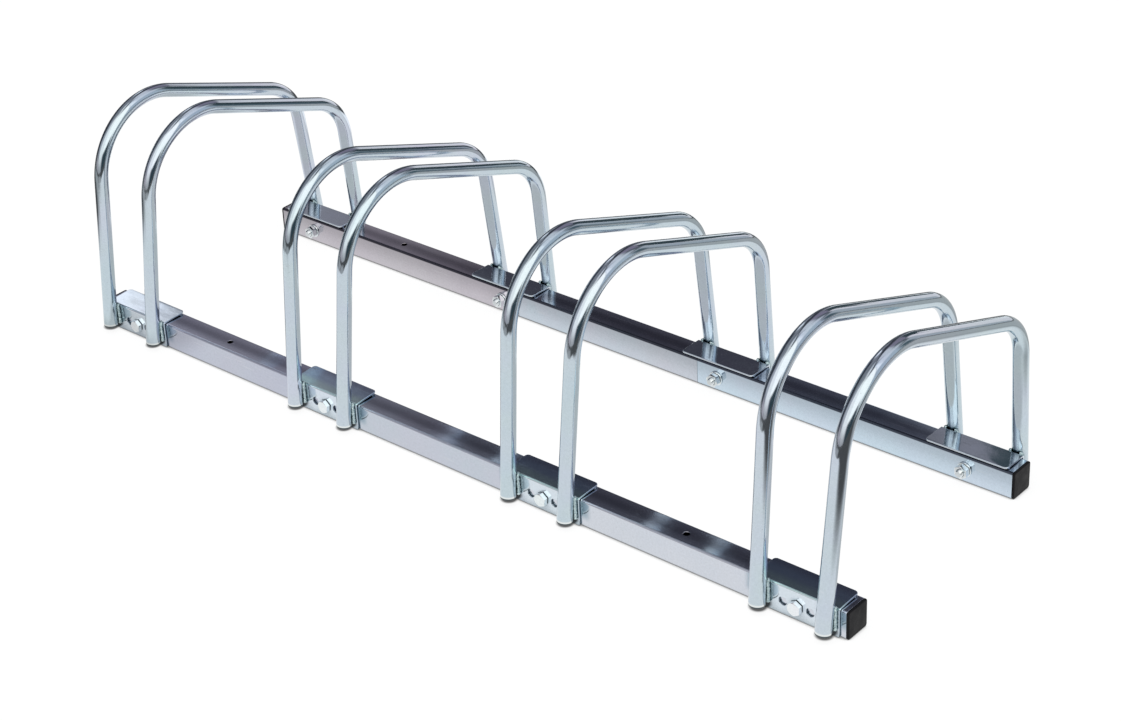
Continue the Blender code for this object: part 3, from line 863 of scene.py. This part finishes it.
FASTENER_TINTS = ((0.88, 0.94, 0.96), (0.91, 0.94, 0.98), (0.88, 0.96, 0.96))
JOINER_TINTS = ((0.50, 0.52, 0.55), (0.56, 0.57, 0.58), (0.52, 0.55, 0.58))


def painted_gap_shade(tree, width, open_from, open_to):
    """White on open surfaces, falling to a dark teal painted shade in the narrow gaps between pieces."""
    open_share = add_node(tree, "AmbientOcclusion", {"Distance": width}, samples=6).outputs["AO"]
    return mixed(remap(open_share, open_from, open_to, smooth=True), GAP_SHADE_TONE, WHITE)


def painted_corner_shade(tree):
    """White, and a dark painted shade on the back rail's rounded upper corner that faces the stand's inside."""
    _, y, z = axes(surface_place(tree))
    inside = calc("LESS_THAN", calc("ABSOLUTE", calc("SUBTRACT", y, RAIL_INNER_Y)), RAIL_CORNER)
    return mixed(times(inside, remap(z, *CORNER_SHADE_Z)), WHITE, CORNER_SHADE_TONE)


def painted_top_sheen(tree, painted_light, lowest, fade):
    """White, and on upper faces painted sheen and shade from the stand's inside over the middle to its outside."""
    inner, middle, outer = painted_light
    x, y, z = axes(surface_place(tree))
    across = times(calc("SUBTRACT", calc("ABSOLUTE", y), RAIL_CENTRE_Y), 2 / RAIL_SIZE)
    tone = mixed(remap(across, *SHEEN_OUTER, smooth=True), middle, outer)
    tone = mixed(remap(across, *SHEEN_INNER, smooth=True), tone, inner)
    share = times(calc("GREATER_THAN", z, lowest), remap(x, *fade, smooth=True))
    return mixed(share, WHITE, tone)


def bay_distance(x):
    """Distance along X from the middle of the nearest bay."""
    return calc("SUBTRACT", BAY_PITCH / 2, calc("PINGPONG", x, BAY_PITCH / 2))


def flange_shade(tree):
    """White, and a soft dull-teal painted shade on the front rail's outer face beside each flange, behind the legs.
    """
    x, y, z = axes(surface_place(tree))
    found = window(bay_distance(x), z, *FLANGE_SHADE)
    outer = calc("LESS_THAN", y, RAIL_CORNER / 2 - RAIL_OUTER_Y)
    return mixed(times(found, outer), WHITE, FLANGE_SHADE_TONE)


def painted_leg_end_light(tree, base):
    """The base colour with a painted highlight band near a front leg's end, and a painted shadow at its very edge.
    """
    length = axes(surface_place(tree, on_tube=True))[2]
    for low, high, share, tone in LEG_END_PAINTED_LIGHT:
        base = mixed(remap(length, low, high, share, 0.0, smooth=True), base, tone)
    return base


def zinc(name, kind, tints, seed, painted_light=()):
    """Bright zinc plating over steel: drifting tints, fine grain along the metal, flecks and faint scratches.

    Each of painted_light makes a colour of painted light or shade that the base colour is multiplied by.
    """
    material, tree, shader = new_material(name)
    roughness, grain, waves, streak, gaps = FINISHES[kind]
    offset = (seed, 1.7 * seed, 0.6 * seed)
    place = surface_place(tree, on_tube=kind == "hoop")
    place = linked("VectorMath", {0: place, 1: offset}, operation="ADD").outputs[0]
    patches = pattern(place, *PATCHES)
    rubs = pattern(scaled(place, *RUB_STRETCH), *RUBS)
    lines = noise(scaled(place, tuple(GRAIN_SCALE * s for s in streak)), detail=3.0)
    rolling = noise(scaled(place, tuple(WAVE_SCALE * s**WAVE_STRETCH for s in streak)), detail=1.5)
    base = mixed(pattern(place, *CLOUDS), tints[0], tints[1])
    base = mixed(times(patches, PATCH_SHARE), base, tints[2])
    base = tinted(base, remap(noise(place, *FLECKS), *FLECK_TONES))
    base = mixed(times(rubs, RUB_SHARE), base, RUB_COLOUR)
    cells = linked("TexVoronoi", {"Vector": place, "Scale": SPOT_SCALE}, feature="F1").outputs
    near = remap(cells["Distance"], *SPOT_EDGE)
    chosen = calc("GREATER_THAN", noise(cells["Position"], *SPOT_PICK), SPOT_RARITY)
    base = mixed(times(times(near, chosen), SPOT_SHARE), base, SPOT_COLOUR)
    # painted shade in the gaps between pieces
    base = tinted(base, painted_gap_shade(tree, *gaps))
    # each painted shade or sheen multiplies the base colour
    for tone in painted_light:
        base = tinted(base, tone(tree))
    # painted highlight and shadow at the front leg's end
    if kind == "hoop":
        base = painted_leg_end_light(tree, base)
    for found, gain in zip((patches, rubs, lines), ROUGHNESS_GAINS):
        roughness = calc("ADD", roughness, times(found, gain))
    shader.inputs["Metallic"].default_value = 1.0
    finish_shader(shader, base, roughness, (rolling, waves), (lines, grain))
    return material


def weld_zinc(name):
    """Plated weld metal: rough, slightly milky, with fine lumps, and a painted shade in their hollows and in gaps.
    """
    material, tree, shader = new_material(name)
    place = surface_place(tree)
    lumps = noise(place, *WELD_LUMPS)
    grains = noise(place, *WELD_GRAINS)
    # painted shade in the hollows between lumps and in the gaps beside the bead
    base = tinted(mixed(remap(lumps, 0.3, 0.7), *WELD_HOLLOW_SHADE_TINTS), painted_gap_shade(tree, *WELD_GAP_SHADE))
    rough = remap(grains, *WELD_ROUGHNESS)
    shader.inputs["Metallic"].default_value = 1.0
    finish_shader(shader, base, rough, (lumps, WELD_LUMP_DEPTH), (grains, GRAIN_DEPTH))
    return material


def cap_plastic(name):
    """Moulded black polyethylene with a fine spark-eroded grain and light scuffs."""
    material, tree, shader = new_material(name)
    place = surface_place(tree)
    grains = noise(place, *CAP_GRAINS)
    clouds = noise(place, *CAP_CLOUDS)
    scuffs = pattern(scaled(place, *SCUFF_STRETCH), *SCUFFS)
    base = mixed(times(scuffs, SCUFF_SHARE), mixed(clouds, *CAP_TINTS), SCUFF_COLOUR)
    rough = remap(clouds, *CAP_ROUGHNESS)
    shader.inputs["Specular IOR Level"].default_value = CAP_SPECULAR
    finish_shader(shader, base, rough, (clouds, CAP_CLOUD_DEPTH), (grains, GRAIN_DEPTH))
    return material


def build_stand():
    """All pieces, row by row and bay by bay."""
    # painted corner shade, flange shade and top sheen on the rails; painted top sheen on the front plates
    rail_painted_light = (painted_corner_shade, flange_shade, lambda tree: painted_top_sheen(tree, *RAIL_TOP_SHEEN))
    plate_painted_light = [lambda tree: painted_top_sheen(tree, *PLATE_TOP_SHEEN)]
    rail_materials = {
        name: zinc(f"rail_zinc_{name}", "rail", tints, i, rail_painted_light)
        for i, (name, tints) in enumerate(RAIL_TINTS.items())
    }
    bracket_materials = {
        "front": zinc("bracket_zinc_front", "plate", BRACKET_TINTS, 4, plate_painted_light),
        "back": zinc("bracket_zinc_back", "plate", BRACKET_TINTS, 5),
    }
    fastener_material = zinc("fastener_zinc", "bolt", FASTENER_TINTS, 6)
    joiner_material = zinc("joiner_steel", "joiner", JOINER_TINTS, 8, rail_painted_light)
    weld_material = weld_zinc("weld_zinc")
    cap_material = cap_plastic("cap_plastic")
    near, far = RAIL_JOINT_X - GAP / 2, RAIL_JOINT_X + GAP / 2
    nut_y = -RAIL_INNER_Y + 2 * GAP + WASHER_THICKNESS + NUT_HEIGHT / 2
    fasteners = (
        ("bolt", add_bolt, -FLANGE_FACE_Y - GAP, HEAD_TURNS),
        ("washer", add_washer, -RAIL_INNER_Y + GAP + WASHER_THICKNESS / 2, (0.0,) * 4),
        ("nut", add_nut, nut_y, NUT_TURNS),
    )
    for row, turn in ROW_TURNS.items():
        left, right = ("left", "right") if row == "front" else ("right", "left")
        lengths = (
            (left, -RAIL_HALF_LENGTH, -far, BAY_X[:2], [-SCREW_HOLE_X]),
            ("middle", -near, near, [], []),
            (right, far, RAIL_HALF_LENGTH, BAY_X[2:], [SCREW_HOLE_X]),
        )
        for name, start, end, bolt_xs, screw_xs in lengths:
            add_rail(f"{row}_rail_{name}", start, end, row, bolt_xs, screw_xs, rail_materials[f"{row}_{name}"])
        for side, name in ((-1, left), (1, right)):
            facing = Matrix.Rotation(0 if side > 0 else pi, 4, "Z")
            place = Matrix.Translation((side * RAIL_HALF_LENGTH, -RAIL_CENTRE_Y, RAIL_CENTRE_Z)) @ facing
            add_end_cap(f"{row}_end_cap_{name}", turn @ place, cap_material)
            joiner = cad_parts[f"{row}_joiner_{name}"]
            joiner.data.materials.clear()
            joiner.data.materials.append(joiner_material)
        for i, bay_x in enumerate(BAY_X):
            number = i + 1
            x = bay_x if row == "front" else -bay_x
            name = f"{row}_bracket_{number}"
            add_bracket(name, row, number, x, bracket_materials[row])
            add_welds(name, row, number, x, weld_material)
            for kind, add, y, angles in fasteners:
                spin = Matrix.Rotation(radians(angles[i]), 4, "Z")
                add(f"{row}_{kind}_{number}", turn @ along_y(x, y, RAIL_CENTRE_Z) @ spin, fastener_material)
    for i, bay_x in enumerate(BAY_X):
        for side, name, seed in ((-1, "left", 2 * i + 1), (1, "right", 2 * i + 2)):
            add_hoop(f"hoop_{i + 1}_{name}", bay_x, side, zinc(f"hoop_zinc_{seed}", "hoop", HOOP_TINTS, seed))


# Studio
# What polished metal sees of the floor, painted light and shade: x and y of each patch, its soft edges, and its
# level
FLOOR_PATCHES = (
    ((-0.78, 0.68), (-0.90, 0.45), (0.10, 0.10), (0.06, 0.06), 0.90),
    ((-0.62, 0.62), (-0.10, 0.105), (0.08, 0.08), (0.02, 0.02), 0.62),
    ((-0.50, 0.35), (-2.20, -0.88), (0.15, 0.20), (0.40, 0.05), 0.42),
    ((-2.20, -0.60), (-2.20, -0.60), (0.30, 0.15), (0.40, 0.12), 0.42),
    ((-0.75, -0.05), (0.47, 0.90), (0.10, 0.12), (0.06, 0.12), 1.15),
    ((0.05, 2.20), (0.45, 2.80), (0.12, 0.30), (0.10, 0.30), 0.49),
    ((0.70, 1.50), (0.05, 0.60), (0.10, 0.30), (0.10, 0.20), 0.50),
    ((-0.52, -0.39), (-0.21, -0.14), (0.02, 0.03), (0.02, 0.01), 0.66),
)
FLOOR_FAR = 0.09
FLOOR_HALF_SIZE = 6.0
FLOOR_LEVEL = 0.91
FLOOR_MATT = (0.95, 0.95, 0.95)
FLOOR_THIN = (0.12, 0.12, 0.12)

# Contact shadow: its reach, and the open shares and levels between which it fades
CONTACT_REACH = 0.007
CONTACT_FADE = (0.20, 0.74, 0.22, 1.0)

# Painted shadows on the floor by the front legs' ends: shift along X and distance from the middle line, how the
# shift grows along X, the shadows' inner and outer radius, and their level
LEG_SHADOW_SPOT = (-0.0066, 0.1622)
LEG_SHADOW_DRIFT = 0.006
LEG_SHADOW_EDGE = (0.0066, 0.0106)
LEG_SHADOW_LEVEL = 0.09


def light_path(tree):
    """One for rays from the camera, and one for rays that polished metal or glass sends out."""
    path = add_node(tree, "LightPath").outputs
    return path["Is Camera Ray"], calc("MAXIMUM", path["Is Glossy Ray"], path["Is Transmission Ray"])


def mixed_shader(share, first, second):
    return linked("MixShader", {0: share, 1: first, 2: second}).outputs[0]


def bare_material(name):
    """A new material without a shader, its node tree and its surface socket."""
    material, tree, shader = new_material(name)
    tree.nodes.remove(shader)
    return material, tree, tree.nodes["Material Output"].inputs["Surface"]


def leg_shadows(x, y):
    """One on open floor, and darker in a small painted shadow by each front leg's open end, beside the flange."""
    centre_x, centre_y = LEG_SHADOW_SPOT
    moved = calc("SUBTRACT", times(x, 1 - LEG_SHADOW_DRIFT), centre_x)
    across = calc("SUBTRACT", bay_distance(moved), HOOP_HALF_SPACING)
    along = calc("ADD", y, centre_y)
    squares = calc("ADD", times(across, across), times(along, along))
    light = remap(calc("SQRT", squares), *LEG_SHADOW_EDGE, LEG_SHADOW_LEVEL, 1.0, smooth=True)
    beyond = calc("GREATER_THAN", calc("ABSOLUTE", x), 2 * BAY_PITCH)
    return calc("MAXIMUM", light, beyond)


def add_floor():
    """A white floor that keeps a thin contact shadow, and that polished metal sees near the stand."""
    low, high = -FLOOR_HALF_SIZE, FLOOR_HALF_SIZE
    corners = [(low, low, 0.0), (high, low, 0.0), (high, high, 0.0), (low, high, 0.0)]
    floor = mesh_object("floor", corners, [(0, 1, 2, 3)])
    material, tree, surface = bare_material("floor_white")
    camera, polished = light_path(tree)
    x, y, _ = axes(add_node(tree, "NewGeometry").outputs["Position"])
    pool = FLOOR_FAR
    for *edges, patch in FLOOR_PATCHES:
        pool = linked("Mix", {0: window(x, y, *edges), 2: pool, 3: patch}).outputs[0]
    level = linked("Mix", {0: polished, 2: FLOOR_LEVEL, 3: pool}).outputs[0]
    contact = add_node(tree, "AmbientOcclusion", {"Distance": CONTACT_REACH}, samples=8).outputs["AO"]
    shade = times(remap(contact, *CONTACT_FADE, smooth=True), leg_shadows(x, y))
    white = linked("Emission", {"Strength": times(level, shade)}).outputs[0]
    matt = add_node(tree, "BsdfDiffuse", {"Color": FLOOR_MATT}).outputs[0]
    thin = add_node(tree, "BsdfDiffuse", {"Color": FLOOR_THIN}).outputs[0]
    shown = linked("AddShader", {0: thin, 1: white}).outputs[0]
    mirrored = mixed_shader(polished, shown, white)
    tree.links.new(mixed_shader(calc("MAXIMUM", camera, polished), matt, mirrored), surface)
    floor.data.materials.append(material)


# The studio in polished metal: azimuths and elevations of each panel in degrees, its soft edges, and its colour.
# Azimuth 0 is behind the stand, -90 to its right, -180 in front of it and 90 to its left, and azimuths run from
# WRAP - 360 to WRAP. A later panel covers an earlier one.
STUDIO_DARK = (0.10, 0.11, 0.13)
WRAP = 100.0
PANELS = (
    # overhead, on the left and in front
    ((50, 400), (74, 100), (4, 2), (10, 2), (0.72, 0.74, 0.78)),
    ((-400, -150), (74, 100), (2, 8), (10, 2), (0.86, 0.86, 0.87)),
    # left: pale near the floor in front, dark beside the stand, under a grey upper wall
    ((-400, -195), (-12, 11), (1, 4), (2, 5), (0.46, 0.42, 0.45)),
    ((-400, -205), (13, 66), (2, 8), (4, 8), (0.50, 0.50, 0.54)),
    ((52, 400), (36, 66), (4, 2), (6, 10), (0.24, 0.25, 0.28)),
    ((-400, -234), (36, 66), (2, 10), (6, 10), (0.24, 0.25, 0.28)),
    ((60, 400), (-12, 38), (4, 1), (2, 5), (0.050, 0.055, 0.070)),
    ((-400, -238), (-12, 38), (1, 9), (2, 5), (0.050, 0.055, 0.070)),
    # in front, on the left: glow near the floor under the key light's left part
    ((-192, -150), (-10, 20), (6, 6), (2, 4), (0.46, 0.45, 0.46)),
    ((-208, -158), (10, 74), (6, 6), (12, 8), (1.10, 1.08, 1.06)),
    # key light in front, with a dark stand below it
    ((-143, -104), (-12, 15), (6, 6), (2, 5), (0.040, 0.065, 0.078)),
    ((-162, -78), (20, 74), (8, 3), (4, 8), (1.38, 1.36, 1.30)),
    ((-100, -79), (10, 40), (6, 3), (4, 6), (1.34, 1.33, 1.27)),
    ((-94, -74), (-10, 9), (5, 4), (2, 5), (0.66, 0.72, 0.71)),
    # right side: pale wall with a brighter upper part
    ((-78, -41), (-10, 76), (3, 4), (2, 8), (0.50, 0.57, 0.64)),
    ((-78, -62), (36, 76), (3, 8), (5, 8), (1.10, 1.13, 1.17)),
    ((-66, -41), (33, 76), (8, 5), (6, 8), (0.78, 0.81, 0.87)),
    ((-43, -26), (30, 66), (4, 12), (5, 6), (0.72, 0.74, 0.80)),
    # behind, on the right: dark shape before a grey wall
    ((-43, -12), (-10, 24), (4, 4), (2, 4), (0.46, 0.48, 0.52)),
    ((-43, -29), (0, 19), (4, 4), (3, 5), (0.08, 0.12, 0.14)),
    # behind: pink-white wall, with a purple-grey beam under a pale ceiling
    ((-13, 24), (-10, 28), (3, 6), (2, 4), (0.86, 0.80, 0.83)),
    ((10, 27), (-10, 15), (5, 4), (2, 4), (1.02, 1.00, 1.01)),
    ((-34, 30), (52, 80), (8, 5), (6, 8), (0.70, 0.71, 0.76)),
    ((-8, 32), (30, 56), (6, 4), (5, 6), (0.25, 0.22, 0.29)),
    # behind, on the left: two black shapes on a grey-lavender wall, beside a bright panel with a brighter strip
    ((26, 52), (14, 36), (4, 1.5), (4, 3), (0.25, 0.245, 0.28)),
    ((52.6, 64), (24, 42), (1.3, 6), (4, 5), (0.72, 0.74, 0.79)),
    ((53.4, 60), (26, 37), (0.6, 4), (3, 4), (1.12, 1.12, 1.18)),
    ((30.5, 43.5), (14, 34), (2, 2.5), (3, 3), (0.048, 0.047, 0.062)),
    ((28, 48.5), (32, 60), (4, 2), (3, 8), (0.050, 0.053, 0.070)),
)


# Light that matt surfaces get from all around
EVEN_LIGHT = (0.97, 0.98, 1.0)
EVEN_STRENGTH = 0.75

# Flag behind the stand: left, right, lower and upper edges of its two parts, its distance, folds and colours
FLAG_PARTS = ((-0.10, 0.22, 0.26, 1.00), (0.22, 0.46, 0.50, 1.00))
FLAG_Y = 1.2
FLAG_FOLDS = (14.0, 14.0, 1.5)
FLAG_COLOURS = ((0.03, 0.05, 0.06), (0.06, 0.08, 0.09))

LAMP = {"shape": "DISK", "size": 1.8, "energy": 20.0}
LAMP_PLACE = (0.4, -0.9, 2.4)

CAMERA = {"sensor_width": 36.0, "lens": 78.488, "shift_x": 0.14368, "shift_y": -0.08484}
CAMERA_CLIP = {"clip_start": 0.05, "clip_end": 50.0}
CAMERA_PLACE = (1.4946, -1.67345, 1.34449)
CAMERA_DEGREES = (62.2825, 4.1646, 42.87)


def background(tree, tint, strength=1.0):
    return add_node(tree, "Background", {"Color": tint, "Strength": strength}).outputs[0]


def add_world():
    """White to the camera, even grey-white on matt surfaces, and a studio with panels in polished metal."""
    world = bpy.data.worlds.new("studio")
    scene.world = world
    world.use_nodes = True
    tree = world.node_tree
    tree.nodes.clear()
    x, y, z = axes(add_node(tree, "TexCoord").outputs["Generated"])
    to_degrees = 180 / pi
    azimuth = times(calc("ARCTAN2", times(x, -1.0), y), to_degrees)
    azimuth = calc("ADD", azimuth, times(calc("GREATER_THAN", azimuth, WRAP), -360.0))
    elevation = times(calc("ARCSINE", z), to_degrees)
    studio = STUDIO_DARK
    for *edges, tint in PANELS:
        studio = mixed(window(azimuth, elevation, *edges), studio, tint)
    camera, polished = light_path(tree)
    even = background(tree, EVEN_LIGHT, EVEN_STRENGTH)
    indirect = mixed_shader(polished, even, background(tree, studio))
    output = add_node(tree, "OutputWorld")
    tree.links.new(mixed_shader(camera, indirect, background(tree, WHITE)), output.inputs["Surface"])


def add_flag():
    """A dark flag behind the stand, which only polished metal sees."""
    corners = []
    for left, right, low, high in FLAG_PARTS:
        corners += [(left, FLAG_Y, low), (right, FLAG_Y, low), (right, FLAG_Y, high), (left, FLAG_Y, high)]
    flag = mesh_object("studio_flag", corners, [(0, 1, 2, 3), (4, 5, 6, 7)])
    material, tree, surface = bare_material("flag_black")
    place = add_node(tree, "NewGeometry").outputs["Position"]
    tone = mixed(noise(scaled(place, FLAG_FOLDS)), *FLAG_COLOURS)
    tree.links.new(linked("Emission", {"Color": tone}).outputs[0], surface)
    flag.data.materials.append(material)
    for rays in ("camera", "diffuse", "shadow", "transmission"):
        setattr(flag, f"visible_{rays}", False)


def placed_object(name, data, settings, place):
    for key, value in settings.items():
        setattr(data, key, value)
    obj = bpy.data.objects.new(name, data)
    obj.location = place
    scene.collection.objects.link(obj)
    return obj


def add_lamp():
    lamp = placed_object("softbox", bpy.data.lights.new("softbox", "AREA"), LAMP, LAMP_PLACE)
    lamp.rotation_euler = (-lamp.location).to_track_quat("-Z", "Y").to_euler()
    lamp.visible_glossy = False
    lamp.visible_camera = False


def add_camera():
    camera = placed_object("camera", bpy.data.cameras.new("camera"), CAMERA | CAMERA_CLIP, CAMERA_PLACE)
    camera.rotation_euler = [radians(a) for a in CAMERA_DEGREES]
    scene.camera = camera


scene.view_settings.view_transform = "Standard"
build_stand()
add_floor()
add_world()
add_flag()
add_lamp()
add_camera()

bpy.context.view_layer.update()
